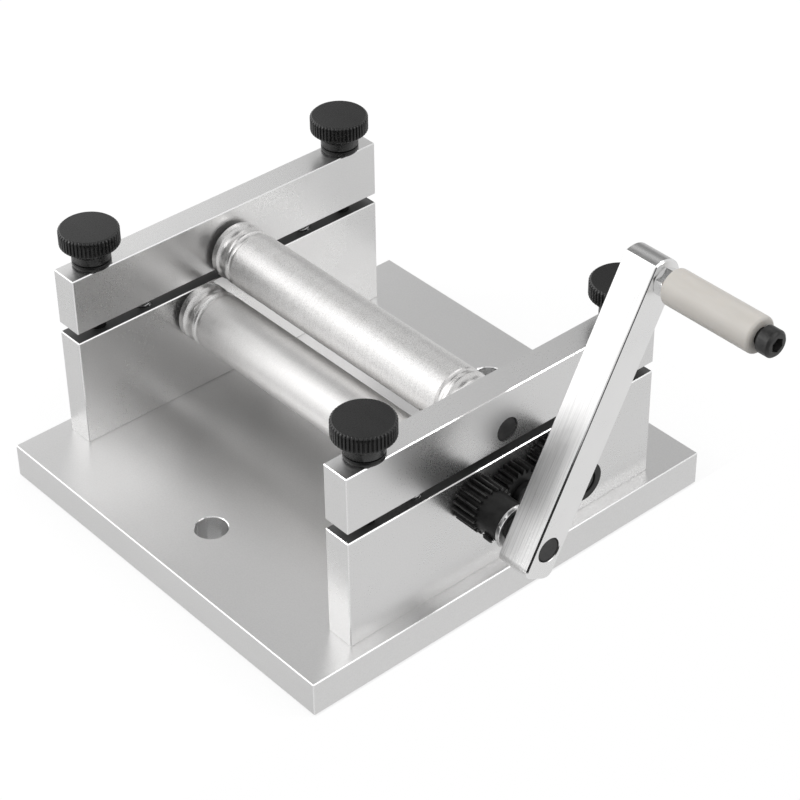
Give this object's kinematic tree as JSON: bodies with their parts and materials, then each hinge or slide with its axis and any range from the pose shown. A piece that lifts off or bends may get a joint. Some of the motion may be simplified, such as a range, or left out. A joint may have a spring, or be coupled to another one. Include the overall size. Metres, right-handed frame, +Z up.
{
  "type": "plate rolling machine",
  "caption": "Hand-cranked bench plate roller: geared rollers in side plates on a thick base, with a presser roller in bars drawn down by thumb screws.",
  "frame": {"origin": "middle of the base plate's underside", "axes": "+X along the rollers towards the crank, +Y from the front to the back, +Z up"},
  "size_m": [0.2198, 0.16, 0.1239],
  "materials": {
    "aluminium": "satin",
    "roller_steel": "blasted satin",
    "black_steel": "black oxide",
    "black_plastic": "matte",
    "bright_steel": "bright zinc",
    "spring_steel": "drawn wire",
    "pale_plastic": "satin"
  },
  "bodies": {
    "frame": {"base_plate": "aluminium", "left_side_plate": "aluminium", "right_side_plate": "aluminium", "base_screws": "black_steel", "idler_stud": "black_steel", "spring_left_front": "spring_steel", "spring_left_back": "spring_steel", "spring_right_front": "spring_steel", "spring_right_back": "spring_steel"},
    "crank": {"front_roller": "roller_steel", "front_shaft": "black_steel", "front_thrust_washers": "black_plastic", "drive_gear": "black_steel", "drive_grub": "black_steel", "arm_washer": "bright_steel", "crank_arm": "aluminium", "arm_grub": "black_steel", "handle_screw": "black_steel", "handle_nut": "bright_steel"},
    "rear_set": {"rear_roller": "roller_steel", "rear_shaft": "black_steel", "rear_thrust_washers": "black_plastic", "driven_gear": "black_steel", "driven_grub": "black_steel"},
    "idler": {"idler_gear": "black_steel"},
    "presser": {"left_bar": "aluminium", "right_bar": "aluminium"},
    "top_set": {"top_roller": "roller_steel", "top_shaft": "black_steel", "top_thrust_washers": "black_plastic"},
    "thumb_left_front": {"knob_left_front": "black_plastic", "stud_left_front": "black_steel"},
    "thumb_left_back": {"knob_left_back": "black_plastic", "stud_left_back": "black_steel"},
    "thumb_right_front": {"knob_right_front": "black_plastic", "stud_right_front": "black_steel"},
    "thumb_right_back": {"knob_right_back": "black_plastic", "stud_right_back": "black_steel"},
    "sleeve": {"handle_sleeve": "pale_plastic"}
  },
  "joints": [
    {"name": "crank_turn", "type": "hinge", "parent": "frame", "child": "crank", "pos_m": [0, -0.0147, 0.0432], "axis": [1, 0, 0], "continuous": true},
    {"name": "idler_turn", "type": "hinge", "parent": "frame", "child": "idler", "pos_m": [0.0737, 0, 0.03997], "axis": [1, 0, 0], "continuous": true},
    {"name": "rear_turn", "type": "hinge", "parent": "frame", "child": "rear_set", "pos_m": [0, 0.0147, 0.0432], "axis": [1, 0, 0], "continuous": true},
    {"name": "bar_lift", "type": "slide", "parent": "frame", "child": "presser", "axis": [0, 0, 1], "range_m": [-0.003, 0.006], "deforming": ["spring_left_front", "spring_left_back", "spring_right_front", "spring_right_back"]},
    {"name": "top_turn", "type": "hinge", "parent": "presser", "child": "top_set", "pos_m": [0, 0, 0.06023], "axis": [1, 0, 0], "continuous": true},
    {"name": "thumb_left_front_turn", "type": "hinge", "parent": "presser", "child": "thumb_left_front", "pos_m": [-0.065, -0.0505, 0.07443], "axis": [0, 0, 1], "range_deg": [-1350, 2700]},
    {"name": "thumb_left_back_turn", "type": "hinge", "parent": "presser", "child": "thumb_left_back", "pos_m": [-0.065, 0.0505, 0.07443], "axis": [0, 0, 1], "range_deg": [-1350, 2700]},
    {"name": "thumb_right_front_turn", "type": "hinge", "parent": "presser", "child": "thumb_right_front", "pos_m": [0.065, -0.0505, 0.07443], "axis": [0, 0, 1], "range_deg": [-1350, 2700]},
    {"name": "thumb_right_back_turn", "type": "hinge", "parent": "presser", "child": "thumb_right_back", "pos_m": [0.065, 0.0505, 0.07443], "axis": [0, 0, 1], "range_deg": [-1350, 2700]},
    {"name": "sleeve_spin", "type": "hinge", "parent": "crank", "child": "sleeve", "pos_m": [0.1235, 0.02651, 0.11754], "axis": [1, 0, 0], "continuous": true}
  ],
  "couplings": [
    {"joint": "idler_turn", "follows": "crank_turn", "ratio": -0.86957},
    {"joint": "rear_turn", "follows": "crank_turn", "ratio": 1},
    {"joint": "thumb_left_front_turn", "follows": "bar_lift", "rad_per_m": 7854},
    {"joint": "thumb_left_back_turn", "follows": "bar_lift", "rad_per_m": 7854},
    {"joint": "thumb_right_front_turn", "follows": "bar_lift", "rad_per_m": 7854},
    {"joint": "thumb_right_back_turn", "follows": "bar_lift", "rad_per_m": 7854}
  ]
}
